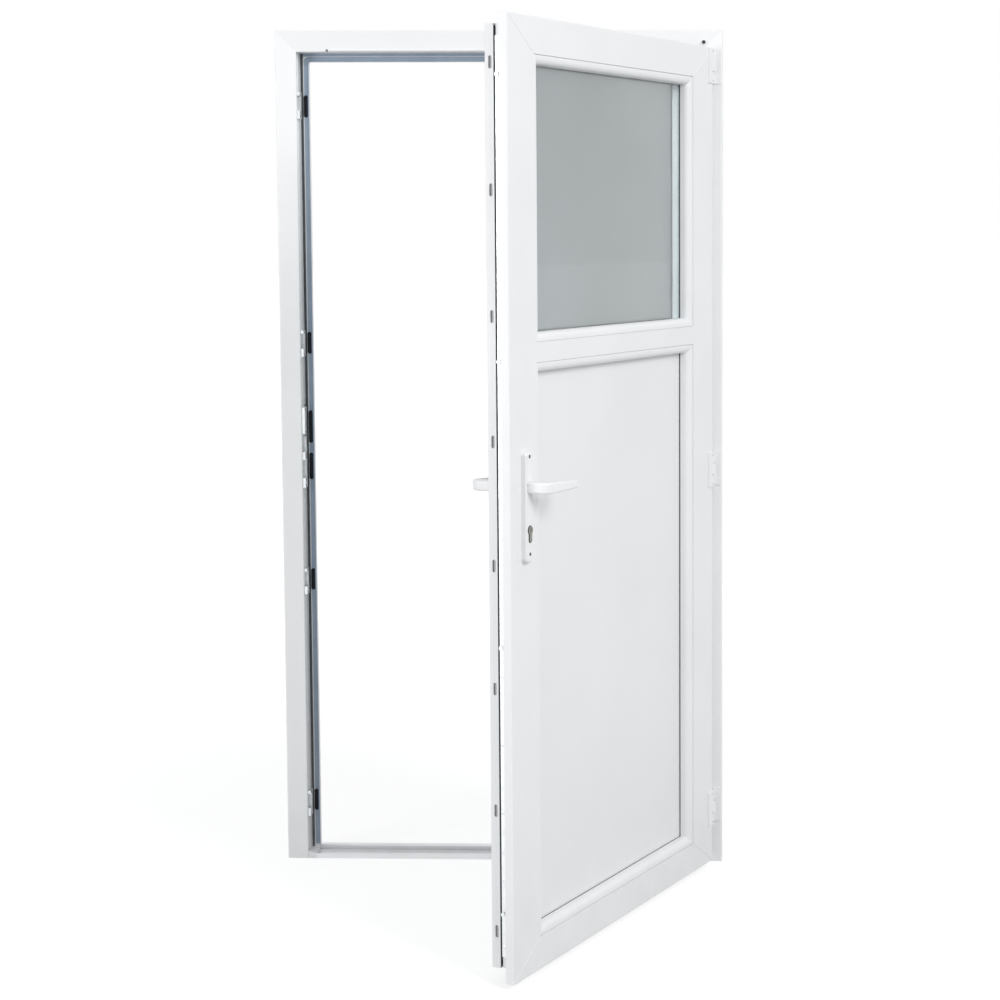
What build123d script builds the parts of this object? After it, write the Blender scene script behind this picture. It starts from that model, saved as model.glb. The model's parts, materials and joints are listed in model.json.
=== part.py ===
from build123d import *
import os

# A side entrance door in white hollow plastic profile: a three-sided outer frame on a low
# threshold, and one rebated leaf with a window over a solid panel, standing open.
# Millimetres. X runs along the wall, +Y goes from the room side to the far side, Z is up.
# The origin is the middle of the threshold's underside.

# Outer frame
frame_width = 1050.0
frame_height = 1980.0
frame_depth = 62.0
frame_face = 50.0
stop_reach = 20.0
edge_round = 2.0
face_round = 3.0
wall_groove_width = 8.0
wall_groove_depth = 4.0
wall_groove_inset = 13.0

# Gaps between the closed leaf and the frame
seal_gap = 6.0
gasket_proud = 1.0
gasket_width = 6.0
gasket_inset = 1.0

# Leaf
leaf_reveal = 42.0
leaf_thickness = 62.0
lip_width = 20.0
lip_thickness = 19.0
stile_face = 108.0
top_rail_face = 74.0
bottom_rail_face = 68.0
middle_rail_face = 40.0
middle_rail_drop = 706.0
leaf_bottom = 11.5
bottom_lip_width = 24.0
open_angle = 67.0

# Hardware grooves: a seat and an open channel in the leaf's edge, one wide groove in the jamb
groove_start = 28.0
groove_depth = 3.0
strip_width = 10.0
channel_width = 4.0
channel_depth = 8.0
jamb_groove_width = 16.0

# Glazing
bead_width = 20.0
bead_flat = 5.0
bead_step = 1.0
bead_edge = 2.0
glazing_recess = 27.0
glazing_thickness = 24.0
glazing_bite = 14.0
pane_thickness = 4.0
spacer_width = 8.0
spacer_inset = 4.0
glazing_gasket_width = 4.0
glazing_gasket_thickness = 3.0

# Threshold
threshold_height = 12.0
threshold_stop_height = 22.0
threshold_lip_width = 9.0
threshold_dip = 2.0
threshold_rib_count = 4
threshold_rib_pitch = 7.0
threshold_rib_width = 2.0
threshold_rib_height = 1.0
threshold_end_rise = 6.0

# Hinges
hinge_side_offset = 14.0
hinge_setback = 12.0
hinge_radius = 8.0
hinge_pin_radius = 4.5
hinge_pin_clearance = 0.1
hinge_length = 80.0
knuckle_gap = 1.0
hinge_base_thickness = 2.5
hinge_base_clearance = 1.5
hinge_arm_plate_width = 26.0
hinge_arm_plate_thickness = 3.0
upper_hinge_drop = 86.0
middle_hinge_height = 953.0
lower_hinge_height = 140.0
pin_cap_radius = 6.5
pin_cap_height = 3.5
pin_cap_bevel = 1.2

# Lock side
strip_margin = 24.0
keep_length = 62.0
keep_width = 24.0
keep_proud = 6.0
keep_throat_drop = 12.0
lock_keep_length = 192.0
lock_keep_drop = 11.0
upper_keep_drop = 174.0
lower_keep_heights = (1246.0, 676.0, 134.0)
keep_floor = 1.0
keep_clearance = 5.0
pad_length = 52.0
pad_width = 10.0
pad_proud = 1.0
pad_inset = 8.0
pad_corner = 3.0
lock_pads = ((36.0, 78.0), (-59.0, 64.0))
roller_rise = 14.0
roller_radius = 4.5
roller_reach = 5.5
roller_stem_radius = 3.0
bolt_length = 34.0
bolt_width = 8.0
bolt_reach = 2.0
dead_bolt_drop = 62.0
slot_pitch = 247.5
slot_first = 111.0
slot_length = 24.0
slot_width = 6.0
slot_depth = 5.0
slot_inset = 50.0

# Handles
spindle_height = 1009.0
spindle_inset = 57.0
spindle_side = 8.0
spindle_hole_radius = 9.0
handle_plate_width = 30.0
handle_plate_length = 220.0
handle_plate_thickness = 12.0
handle_plate_drop = 39.0
handle_plate_corner = 8.0
handle_plate_bevel = 2.5
collar_radius = 11.0
collar_clearance = 0.3
lever_clearance = 1.0
lever_reach = 130.0
lever_projection = 60.0
lever_neck = 20.0
lever_height = 22.0
lever_thickness = 13.0
lever_outer_bend = 20.0
lever_inner_bend = 12.0
lever_tip_height = 16.0
lever_tip_thickness = 9.0
lever_tip_back = 8.0
lever_droop = 4.0
lever_round = 4.0
cylinder_drop = 85.0
cylinder_radius = 8.5
cylinder_tail_width = 10.0
cylinder_tail_length = 24.5
cylinder_proud = 2.0
key_slot_width = 2.2
key_slot_height = 8.5
key_slot_depth = 9.0

# Derived places
half_width = frame_width / 2
near_y = -frame_depth / 2
far_y = frame_depth / 2
leaf_width = frame_width - 2 * leaf_reveal
leaf_top = frame_height - leaf_reveal
leaf_x = -leaf_width / 2
leaf_y = near_y - seal_gap - lip_thickness
stop_start = leaf_y + leaf_thickness + seal_gap - near_y
stop_face = frame_face + stop_reach
jamb_groove_start = groove_start - lip_thickness - seal_gap
roller_line = groove_start + strip_width / 2
keep_line = near_y + jamb_groove_start + strip_width / 2
axis_x = leaf_x + leaf_width + hinge_side_offset
axis_y = leaf_y + hinge_setback
middle_rail_centre = frame_height - middle_rail_drop
glass_bottom = middle_rail_centre + middle_rail_face / 2
glass_top = leaf_top - top_rail_face
panel_bottom = leaf_bottom + bottom_rail_face
panel_top = middle_rail_centre - middle_rail_face / 2
opening_left = stile_face
opening_right = leaf_width - stile_face
body_bottom = leaf_bottom + bottom_lip_width
body_top = leaf_top - lip_width
slot_count = int((body_top - slot_first - slot_length) / slot_pitch) + 1
keep_centres = (frame_height - upper_keep_drop, *lower_keep_heights)
hinge_centres = {
    "upper": frame_height - upper_hinge_drop,
    "middle": middle_hinge_height,
    "lower": lower_hinge_height,
}

parts = {}


def closed_face(points):
    """Flat face from its corner points."""
    return make_face(Polyline(*points, close=True))


def ring(section, x0, x1, z0, z1):
    """Section face carried round a rectangle. First coordinate inward, second along +Y."""
    middle = (x0, 0, (z0 + z1) / 2)
    path = Polyline(middle, (x0, 0, z1), (x1, 0, z1), (x1, 0, z0), (x0, 0, z0), middle)
    plane = Plane(origin=middle, x_dir=(1, 0, 0), z_dir=(0, 0, 1))
    return sweep(plane * section, path=path, transition=Transition.RIGHT)


def arch(section, x0, x1, z0, z1):
    """Section face carried up one side, along the top and down the other side."""
    path = Polyline((x0, 0, z0), (x0, 0, z1), (x1, 0, z1), (x1, 0, z0))
    plane = Plane(origin=(x0, 0, z0), x_dir=(1, 0, 0), z_dir=(0, 0, 1))
    return sweep(plane * section, path=path, transition=Transition.RIGHT)


def prism(points, y0, y1):
    """Outline in X and Z, from y0 to y1."""
    face = Plane(origin=(0, y0, 0), x_dir=(1, 0, 0), z_dir=(0, -1, 0)) * closed_face(points)
    return extrude(face, amount=-(y1 - y0))


def block(x0, x1, y0, y1, z0, z1):
    """Box between two corners."""
    size = (x1 - x0, y1 - y0, z1 - z0)
    return Pos((x0 + x1) / 2, (y0 + y1) / 2, (z0 + z1) / 2) * Box(*size)


def rod(x, y, z0, z1, radius):
    """Upright cylinder."""
    return Pos(x, y, (z0 + z1) / 2) * Cylinder(radius, z1 - z0)


def bar_along_y(x, z, y0, y1, radius):
    """Cylinder along Y."""
    return Pos(x, (y0 + y1) / 2, z) * Rot(90, 0, 0) * Cylinder(radius, y1 - y0)


def frame_section():
    """Jamb and head section, from the outer edge inward and from the near face back."""
    g0 = jamb_groove_start
    g1 = jamb_groove_start + jamb_groove_width
    a0 = wall_groove_inset
    a1 = wall_groove_inset + wall_groove_width
    b0 = frame_depth - a1
    b1 = frame_depth - a0
    face = closed_face([
        (0, 0), (frame_face, 0),
        (frame_face, g0), (frame_face - groove_depth, g0),
        (frame_face - groove_depth, g1), (frame_face, g1),
        (frame_face, stop_start), (stop_face, stop_start),
        (stop_face, frame_depth), (0, frame_depth),
        (0, b1), (wall_groove_depth, b1), (wall_groove_depth, b0), (0, b0),
        (0, a1), (wall_groove_depth, a1), (wall_groove_depth, a0), (0, a0),
    ])
    near_corners = [v for v in face.vertices() if abs(v.Y) < edge_round]
    face = fillet(near_corners, face_round)
    stop_corners = [v for v in face.vertices() if abs(v.X - stop_face) < edge_round]
    return fillet(stop_corners, edge_round)


def outer_frame():
    """Two jambs and the head, mitred at the top corners."""
    solid = Pos(0, near_y, 0) * arch(frame_section(), -half_width, half_width, 0, frame_height)
    k = stop_face
    y0 = near_y - edge_round
    y1 = far_y + edge_round
    top = frame_height
    left = [(-half_width, 0), (-half_width + k, 0), (-half_width + k, top - k), (-half_width, top)]
    right = [(-x, z) for x, z in left]
    head = [(-half_width, top), (-half_width + k, top - k), (half_width - k, top - k), (half_width, top)]
    parts["lock_jamb"] = solid & prism(left, y0, y1)
    parts["hinge_jamb"] = solid & prism(right, y0, y1)
    parts["head"] = solid & prism(head, y0, y1)


def threshold():
    """Low metal sill: a near lip, a ribbed flat, and the higher stop. White blocks end it."""
    x_in = half_width - stop_face
    x_out = half_width - frame_face
    stop_y = near_y + stop_start
    low = threshold_height
    flat = low - threshold_dip
    high = threshold_stop_height
    lip_y = near_y + threshold_lip_width
    profile = [
        (near_y, 0), (near_y, low - edge_round), (near_y + edge_round, low), (lip_y, low),
        (lip_y + threshold_dip, flat),
    ]
    for i in range(threshold_rib_count):
        y = lip_y + (i + 1) * threshold_rib_pitch
        rib = flat + threshold_rib_height
        profile += [(y, flat), (y, rib), (y + threshold_rib_width, rib), (y + threshold_rib_width, flat)]
    profile += [
        (stop_y, flat), (stop_y, high - edge_round), (stop_y + edge_round, high),
        (far_y - edge_round, high), (far_y, high - edge_round), (far_y, 0),
    ]
    parts["threshold"] = extrude(Plane.YZ * closed_face(profile), amount=x_in, both=True)
    wedge = [(x_in, 0), (x_out, 0), (x_out, low + threshold_end_rise), (x_in, low)]
    ends = [prism(wedge, near_y, stop_y), prism([(-x, z) for x, z in wedge], near_y, stop_y)]
    parts["threshold_ends"] = Compound(children=ends)


def gaskets():
    """Soft seals: on both jambs' stops, on the head's stop, and behind the leaf's lip."""
    stop_y = near_y + stop_start
    y0 = stop_y - gasket_proud
    x0 = half_width - frame_face - gasket_inset - gasket_width
    x1 = half_width - frame_face - gasket_inset
    z0 = threshold_height + threshold_end_rise
    z1 = frame_height - frame_face - gasket_inset
    sides = [block(x0, x1, y0, stop_y, z0, z1), block(-x1, -x0, y0, stop_y, z0, z1)]
    parts["jamb_gasket"] = Compound(children=sides)
    parts["head_gasket"] = block(-x0, x0, y0, stop_y, z1 - gasket_width, z1)
    inset = (lip_width - gasket_width) / 2
    back = [(0, 0), (0, gasket_proud), (gasket_width, gasket_proud), (gasket_width, 0)]
    seal = ring(closed_face(back), inset, leaf_width - inset, leaf_bottom + inset, leaf_top - inset)
    parts["leaf_gasket"] = Pos(0, lip_thickness, 0) * seal


def leaf_outline(x_in, z_low, z_high):
    """Rectangle in the leaf's plane, the same distance in from both long edges."""
    return [(x_in, z_low), (leaf_width - x_in, z_low), (leaf_width - x_in, z_high), (x_in, z_high)]


def leaf_frame():
    """Stiles and rails cut from one rebated blank along their mitred joints."""
    lip = prism(leaf_outline(0, leaf_bottom, leaf_top), 0, lip_thickness)
    near_edges = lip.faces().sort_by(Axis.Y)[0].edges()
    lip = fillet(near_edges, face_round)
    body = prism(leaf_outline(lip_width, body_bottom, body_top), lip_thickness, leaf_thickness)
    far_edges = body.faces().sort_by(Axis.Y)[-1].edges()
    body = fillet(far_edges, edge_round)
    blank = lip + body

    for z0, z1 in ((glass_bottom, glass_top), (panel_bottom, panel_top)):
        near = [(opening_left, z0), (opening_right, z0), (opening_right, z1), (opening_left, z1)]
        blank -= prism(near, 0, glazing_recess + glazing_thickness)
        k = bead_width
        far = [
            (opening_left + k, z0 + k), (opening_right - k, z0 + k),
            (opening_right - k, z1 - k), (opening_left + k, z1 - k),
        ]
        blank -= prism(far, 0, leaf_thickness)

    seat_end = groove_start + strip_width
    channel_end = seat_end + channel_width
    x_seat = lip_width + groove_depth
    x_channel = lip_width + channel_depth
    blank -= block(lip_width, x_seat, groove_start, seat_end, body_bottom, body_top)
    blank -= block(lip_width, x_channel, seat_end, channel_end, body_bottom, body_top)
    for i in range(slot_count):
        z = slot_first + i * slot_pitch
        half = slot_length / 2
        half_slot = slot_width / 2
        y0 = slot_inset - half_slot
        y1 = slot_inset + half_slot
        blank -= block(lip_width, lip_width + slot_depth, y0, y1, z - half, z + half)
    z_key = spindle_height - cylinder_drop
    blank -= bar_along_y(spindle_inset, spindle_height, 0, leaf_thickness, spindle_hole_radius)
    blank -= cylinder_profile(spindle_inset, z_key, 0, leaf_thickness, 0)

    k = lip_width + bead_width
    full = bead_width
    x_in = opening_left + full
    zi_top = glass_top - full
    zi_low = panel_bottom + full
    b = leaf_bottom
    t = leaf_top
    lock_side = [
        (0, b), (k, b + k), (x_in - full, zi_low - full), (x_in, zi_low), (x_in, zi_top),
        (x_in - full, zi_top + full), (k, t - k), (0, t),
    ]
    hinge_side = [(leaf_width - x, z) for x, z in lock_side]
    top = [(0, t), (k, t - k), (x_in - full, zi_top + full), (x_in, zi_top)]
    top += [(leaf_width - x, z) for x, z in reversed(top)]
    low = [(0, b), (k, b + k), (x_in - full, zi_low - full), (x_in, zi_low)]
    low += [(leaf_width - x, z) for x, z in reversed(low)]
    y1 = leaf_thickness
    tongue = [
        (opening_left, panel_top), (x_in, panel_top - full), (leaf_width - x_in, panel_top - full),
        (opening_right, panel_top), (opening_right, glass_bottom),
        (leaf_width - x_in, glass_bottom + full), (x_in, glass_bottom + full),
        (opening_left, glass_bottom),
    ]
    parts["middle_rail"] = blank & prism(tongue, 0, y1)
    rest = blank - prism(tongue, 0, y1)
    parts["lock_stile"] = rest & prism(lock_side, 0, y1)
    parts["hinge_stile"] = rest & prism(hinge_side, 0, y1)
    parts["top_rail"] = rest & prism(top, 0, y1)
    parts["bottom_rail"] = rest & prism(low, 0, y1)


def split_ring(solid, name, x0, x1, z0, z1, k, y0, y1):
    """Four mitred bars from a ring."""
    shapes = {
        "lock": [(x0, z0), (x0 + k, z0 + k), (x0 + k, z1 - k), (x0, z1)],
        "hinge": [(x1, z0), (x1 - k, z0 + k), (x1 - k, z1 - k), (x1, z1)],
        "top": [(x0, z1), (x0 + k, z1 - k), (x1 - k, z1 - k), (x1, z1)],
        "bottom": [(x0, z0), (x0 + k, z0 + k), (x1 - k, z0 + k), (x1, z0)],
    }
    for side, outline in shapes.items():
        parts[f"{name}_{side}"] = solid & prism(outline, y0, y1)


def bead_section(back):
    """Glazing bead: a short flat by the face, then a quarter round down to the glass."""
    roll = bead_width - bead_flat
    start = (bead_flat, bead_step)
    end = (bead_width, bead_step + roll)
    outline = [
        Line((0, back), (0, bead_step + bead_edge)),
        Line((0, bead_step + bead_edge), (bead_edge, bead_step)),
        Line((bead_edge, bead_step), start),
        TangentArc(start, end, tangent=(1, 0)),
        Line(end, (bead_width, back)),
        Line((bead_width, back), (0, back)),
    ]
    return make_face(outline)


def glazing():
    """Window of two panes, solid panel, their beads and seals."""
    reach = bead_width - glazing_bite
    x0 = opening_left + reach
    x1 = opening_right - reach
    near = glazing_recess
    far = glazing_recess + glazing_thickness
    z0 = glass_bottom + reach
    z1 = glass_top - reach
    pane = [(x0, z0), (x1, z0), (x1, z1), (x0, z1)]
    parts["glass_near_pane"] = prism(pane, near, near + pane_thickness)
    parts["glass_far_pane"] = prism(pane, far - pane_thickness, far)
    i = spacer_inset
    gap = glazing_thickness - 2 * pane_thickness
    bar = closed_face([(0, 0), (spacer_width, 0), (spacer_width, gap), (0, gap)])
    spacer = ring(bar, x0 + i, x1 - i, z0 + i, z1 - i)
    parts["glass_spacer"] = Pos(0, near + pane_thickness, 0) * spacer
    p0 = panel_bottom + reach
    p1 = panel_top - reach
    panel = [(x0, p0), (x1, p0), (x1, p1), (x0, p1)]
    parts["door_panel"] = prism(panel, near, far)

    t = glazing_gasket_thickness
    bead_back = glazing_recess - t
    w = glazing_gasket_width
    s = bead_width - w
    left = opening_left
    right = opening_right
    section = bead_section(bead_back)
    seal = closed_face([(0, 0), (w, 0), (w, t), (0, t)])
    for name, b0, b1 in (("glass", glass_bottom, glass_top), ("panel", panel_bottom, panel_top)):
        bead = ring(section, left, right, b0, b1)
        split_ring(bead, f"{name}_bead", left, right, b0, b1, bead_width, 0, glazing_recess)
        gasket = ring(seal, left + s, right - s, b0 + s, b1 - s)
        parts[f"{name}_gasket"] = Pos(0, bead_back, 0) * gasket


def roller(x, y, z):
    """Round-headed locking roller on its stem, standing out of the leaf's edge."""
    head_length = roller_reach / 2
    head_x = x - roller_reach + head_length / 2
    stem = Pos(x - roller_reach / 2, y, z) * Rot(0, 90, 0) * Cylinder(roller_stem_radius, roller_reach)
    head = Pos(head_x, y, z) * Rot(0, 90, 0) * Cylinder(roller_radius, head_length)
    return stem + head


def lock_hardware():
    """Full-height lock strip with rollers and bolts in the leaf's edge."""
    y0 = groove_start
    y1 = groove_start + strip_width
    x0 = lip_width
    x1 = lip_width + groove_depth
    half = bolt_length / 2
    side = bolt_width / 2
    strip = block(x0, x1, y0, y1, body_bottom + strip_margin, body_top - strip_margin)
    bolts = {"latch_bolt": spindle_height, "dead_bolt": spindle_height - dead_bolt_drop}
    for name, z in bolts.items():
        bolt_at = (roller_line - side, roller_line + side, z - half, z + half)
        strip -= block(x0, x1, *bolt_at)
        parts[name] = block(x0 - bolt_reach, x1, *bolt_at)
    parts["lock_strip"] = strip
    rollers = [roller(x0, roller_line, z + roller_rise) for z in keep_centres]
    parts["locking_rollers"] = Compound(children=rollers)


def keep(z0, z1, throats, half_throat):
    """Raised keep seated in the jamb's groove, open to the near side where a bolt passes."""
    x_wall = -half_width + frame_face
    x_top = x_wall + keep_proud
    y0 = near_y + jamb_groove_start
    solid = block(x_wall - groove_depth, x_wall, y0, y0 + jamb_groove_width, z0, z1)
    solid += block(x_wall, x_top, y0, y0 + keep_width, z0, z1)
    x_floor = x_wall - groove_depth + keep_floor
    for low, high in throats:
        solid -= block(x_floor, x_top, y0, keep_line + half_throat, low, high)
    return solid


def keep_pad(centre, length):
    """Flat pad with cut corners on the jamb's stop."""
    x0 = -half_width + frame_face + pad_inset
    y1 = near_y + stop_start
    pad = block(x0, x0 + pad_width, y1 - pad_proud, y1, centre - length / 2, centre + length / 2)
    return chamfer(pad.edges().filter_by(Axis.Y), pad_corner)


def keeps():
    """Keeps on the lock jamb that the bolts and rollers meet, and the pads behind them."""
    half = keep_length / 2
    over_roller = roller_rise + roller_radius + keep_clearance
    half_throat = roller_radius + keep_clearance
    parts["roller_keeps"] = Compound(children=[
        keep(z - half, z + half, [(z - keep_throat_drop, z + over_roller)], half_throat)
        for z in keep_centres
    ])
    centre = spindle_height - lock_keep_drop
    half = lock_keep_length / 2
    reach = bolt_length / 2 + keep_clearance
    bolts = (spindle_height, spindle_height - dead_bolt_drop)
    throats = [(z - reach, z + reach) for z in bolts]
    half_throat = bolt_width / 2 + keep_clearance
    parts["lock_keep"] = keep(centre - half, centre + half, throats, half_throat)
    pads = [keep_pad(z, pad_length) for z in keep_centres]
    pads += [keep_pad(spindle_height + rise, length) for rise, length in lock_pads]
    parts["keep_pads"] = Compound(children=pads)


def pin_cap(z0, z1, outer):
    """Bevelled cap over one end of a hinge pin. outer picks its free end: 0 is low, -1 is high."""
    cap = rod(axis_x, axis_y, z0, z1, pin_cap_radius)
    rim = cap.faces().sort_by(Axis.Z)[outer].edges()
    return chamfer(rim, pin_cap_bevel)


def hinges():
    """Three hinges: a base with two knuckles on the frame, an arm with one on the leaf, a pin."""
    third = (hinge_length - 2 * knuckle_gap) / 3
    x_leaf = axis_x - leaf_x
    y_leaf = hinge_setback
    x_edge = leaf_width
    for name, centre in hinge_centres.items():
        z0 = centre - hinge_length / 2
        z3 = centre + hinge_length / 2
        z1 = z0 + third
        z2 = z3 - third
        plate_x = axis_x + hinge_radius + hinge_base_clearance
        plate_y = near_y - hinge_base_thickness
        base = block(plate_x, half_width - face_round, plate_y, near_y, z0, z3)
        for low, high in ((z0, z1), (z2, z3)):
            base += rod(axis_x, axis_y, low, high, hinge_radius)
            base += block(axis_x, plate_x, axis_y, near_y, low, high)
        base -= rod(axis_x, axis_y, z0, z3, hinge_pin_radius)
        parts[f"{name}_hinge_base"] = base
        pin = rod(axis_x, axis_y, z0, z3, hinge_pin_radius)
        pin += pin_cap(z3, z3 + pin_cap_height, -1)
        pin += pin_cap(z0 - pin_cap_height, z0, 0)
        parts[f"{name}_hinge_pin"] = pin
        a0 = z1 + knuckle_gap
        a1 = z2 - knuckle_gap
        t = hinge_arm_plate_thickness
        arm = block(x_edge - hinge_arm_plate_width, x_edge, -t, 0, z0, z3)
        arm += block(x_edge, x_leaf, -t, y_leaf, a0, a1)
        arm += rod(x_leaf, y_leaf, a0, a1, hinge_radius)
        arm -= rod(x_leaf, y_leaf, a0, a1, hinge_pin_radius + hinge_pin_clearance)
        parts[f"{name}_hinge_arm"] = arm


def cylinder_profile(x, z, y0, y1, grow):
    """Keyed cylinder's outline: a round head over a narrow rounded tail."""
    width = cylinder_tail_width / 2 + grow
    head = bar_along_y(x, z, y0, y1, cylinder_radius + grow)
    tail_z = z - cylinder_tail_length + cylinder_tail_width / 2
    tail = block(x - width, x + width, y0, y1, tail_z, z)
    foot = bar_along_y(x, tail_z, y0, y1, width)
    return head + tail + foot


def handle_plate(sign, y_face):
    """Long narrow plate with rounded corners, bored for the lever's collar and the cylinder."""
    y0, y1 = sorted((y_face, y_face + sign * handle_plate_thickness))
    z_mid = spindle_height - handle_plate_drop
    half = handle_plate_length / 2
    z_key = spindle_height - cylinder_drop
    x0 = spindle_inset - handle_plate_width / 2
    x1 = spindle_inset + handle_plate_width / 2
    plate = block(x0, x1, y0, y1, z_mid - half, z_mid + half)
    plate = fillet(plate.edges().filter_by(Axis.Y), handle_plate_corner)
    outer = plate.faces().filter_by(Axis.Y).sort_by(Axis.Y)[-1 if sign > 0 else 0]
    plate = chamfer(outer.edges(), handle_plate_bevel)
    plate -= bar_along_y(spindle_inset, spindle_height, y0, y1, collar_radius + collar_clearance)
    plate -= cylinder_profile(spindle_inset, z_key, y0, y1, 0)
    return plate


def lever_plan():
    """The lever seen from above: X along its grip, Y out from the leaf."""
    start = handle_plate_thickness + lever_clearance
    half = lever_neck / 2
    out = lever_projection
    inner = out - lever_thickness
    tip_out = out - lever_tip_back
    tip_in = tip_out - lever_tip_thickness
    a = (-half, start)
    b = (-half, out - lever_outer_bend)
    c = (-half + lever_outer_bend, out)
    d = (lever_reach, tip_out)
    e = (lever_reach, tip_in)
    f = (half + lever_inner_bend, inner)
    g = (half, inner - lever_inner_bend)
    h = (half, start)
    return make_face([
        Line(a, b), TangentArc(b, c, tangent=(0, 1)), TangentArc(c, d, tangent=(1, 0)), Line(d, e),
        TangentArc(f, e, tangent=(1, 0)), TangentArc(g, f, tangent=(0, 1)), Line(g, h), Line(h, a),
    ])


def lever_front():
    """The lever seen from the front: full height at its neck, lower and drooping at the tip."""
    half = lever_height / 2
    tip = lever_tip_height / 2
    far = lever_reach + lever_round
    neck = lever_neck
    return [
        (-neck, -half), (neck, -half), (far, -tip - lever_droop),
        (far, tip - lever_droop), (neck, half), (-neck, half),
    ]


def lever(sign, y_face):
    """Lever and its collar, all edges rounded. sign is the way out from the leaf along Y."""
    start = handle_plate_thickness + lever_clearance
    grip = extrude(lever_plan(), amount=lever_height, both=True)
    grip &= prism(lever_front(), 0, lever_projection + lever_round)
    at_tip = [e for e in grip.edges().filter_by(Axis.Z) if e.center().X > lever_reach - lever_round]
    grip = fillet(at_tip, lever_round)
    seat = grip.faces().sort_by(Axis.Y)[0]
    at_seat = seat.edges()
    grip = fillet([e for e in grip.edges() if e not in at_seat], lever_round)
    if sign < 0:
        grip = mirror(grip, about=Plane.XZ)
    ends = sorted((y_face, y_face + sign * start))
    collar = bar_along_y(spindle_inset, spindle_height, *ends, collar_radius)
    return collar + Pos(spindle_inset, y_face, spindle_height) * grip


def handles():
    """Plates, levers, the square spindle and the keyed cylinder."""
    t = handle_plate_thickness
    parts["near_handle_plate"] = handle_plate(-1, 0)
    parts["far_handle_plate"] = handle_plate(1, leaf_thickness)
    parts["near_lever"] = lever(-1, 0)
    parts["far_lever"] = lever(1, leaf_thickness)
    half = spindle_side / 2
    parts["handle_spindle"] = block(
        spindle_inset - half, spindle_inset + half, 0, leaf_thickness,
        spindle_height - half, spindle_height + half,
    )
    z_key = spindle_height - cylinder_drop
    y0 = -t - cylinder_proud
    y1 = leaf_thickness + t + cylinder_proud
    cylinder = cylinder_profile(spindle_inset, z_key, y0, y1, 0)
    w = key_slot_width / 2
    h = key_slot_height / 2
    for a, b in ((y0, y0 + key_slot_depth), (y1 - key_slot_depth, y1)):
        cylinder -= block(spindle_inset - w, spindle_inset + w, a, b, z_key - h, z_key + h)
    parts["lock_cylinder"] = cylinder


def place_leaf(solid):
    """Leaf coordinates to the door's own, swung open about the hinge axis."""
    closed = Pos(leaf_x, leaf_y, 0) * solid
    about = Pos(axis_x, axis_y, 0) * Rot(0, 0, open_angle) * Pos(-axis_x, -axis_y, 0)
    return about * closed


def build():
    """Every piece, each written under its own name."""
    outer_frame()
    threshold()
    gaskets()
    leaf_frame()
    glazing()
    lock_hardware()
    keeps()
    hinges()
    handles()
    fixed = {
        "lock_jamb", "hinge_jamb", "head", "threshold", "threshold_ends", "jamb_gasket",
        "head_gasket", "roller_keeps", "lock_keep", "keep_pads",
    }
    for name in hinge_centres:
        fixed |= {f"{name}_hinge_base", f"{name}_hinge_pin"}
    os.makedirs("parts", exist_ok=True)
    for name, solid in parts.items():
        placed = solid if name in fixed else place_leaf(solid)
        export_step(placed, f"parts/{name}.step")
    print(len(parts), "pieces; hinge axis", axis_x, axis_y)


build()
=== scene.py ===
# %% [markdown]
# # A white side entrance door, standing open
# The real door is a plastic-profile frame with one leaf: a grey window above a solid panel.
# The solid model already has every bar, bead, pane and plate at its true size, so this
# script adds what a solid model can't say: finishes, screws, soft seals, weld seams, light.
# The first cell loads that model as a fixed frame.

import json
from math import asin, cos, pi, radians, sin

import bmesh
import bpy
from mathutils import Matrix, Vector


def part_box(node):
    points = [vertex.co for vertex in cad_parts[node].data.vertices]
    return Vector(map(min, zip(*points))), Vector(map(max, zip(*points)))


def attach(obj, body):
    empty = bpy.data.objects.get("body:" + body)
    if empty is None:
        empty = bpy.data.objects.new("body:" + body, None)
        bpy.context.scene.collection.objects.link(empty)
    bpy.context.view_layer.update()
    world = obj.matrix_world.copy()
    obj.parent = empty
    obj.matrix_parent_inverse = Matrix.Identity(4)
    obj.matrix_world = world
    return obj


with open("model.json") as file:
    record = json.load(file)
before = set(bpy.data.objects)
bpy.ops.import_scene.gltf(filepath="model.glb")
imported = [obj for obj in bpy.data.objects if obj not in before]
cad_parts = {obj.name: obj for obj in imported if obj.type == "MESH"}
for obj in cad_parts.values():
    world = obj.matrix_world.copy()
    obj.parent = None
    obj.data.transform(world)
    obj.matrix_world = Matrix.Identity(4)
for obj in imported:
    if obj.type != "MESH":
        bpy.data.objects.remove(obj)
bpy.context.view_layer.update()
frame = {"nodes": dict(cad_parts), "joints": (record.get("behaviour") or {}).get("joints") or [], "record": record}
nodes = frame["nodes"]

# %% [markdown]
# ## Places on the open leaf
# The leaf stands open at an angle, so a place on it is awkward to write in room coordinates.
# One way is to build everything closed and turn it afterwards. Here each point is written in
# the leaf's own three distances instead: u from the lock edge, n from the near face, z up.
# The hinge joint in the record gives the axis and how far the leaf is swung, and the panes
# and plates are measured where they stand, so a piece always sits on what carries it.

# %% Leaf coordinates
swing = next(joint for joint in frame["joints"] if joint["child"] == "leaf")
axis_at = Vector(swing["pos_m"])
opened = radians(-swing["range_deg"][0])
along = Vector((cos(opened), sin(opened), 0))
through = Vector((-sin(opened), cos(opened), 0))


def turned_back(point):
    """A point of the open leaf, as if the leaf were shut."""
    offset = point - axis_at
    return Vector((offset.dot(along), offset.dot(through), 0)) + Vector((axis_at.x, axis_at.y, point.z))


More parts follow.
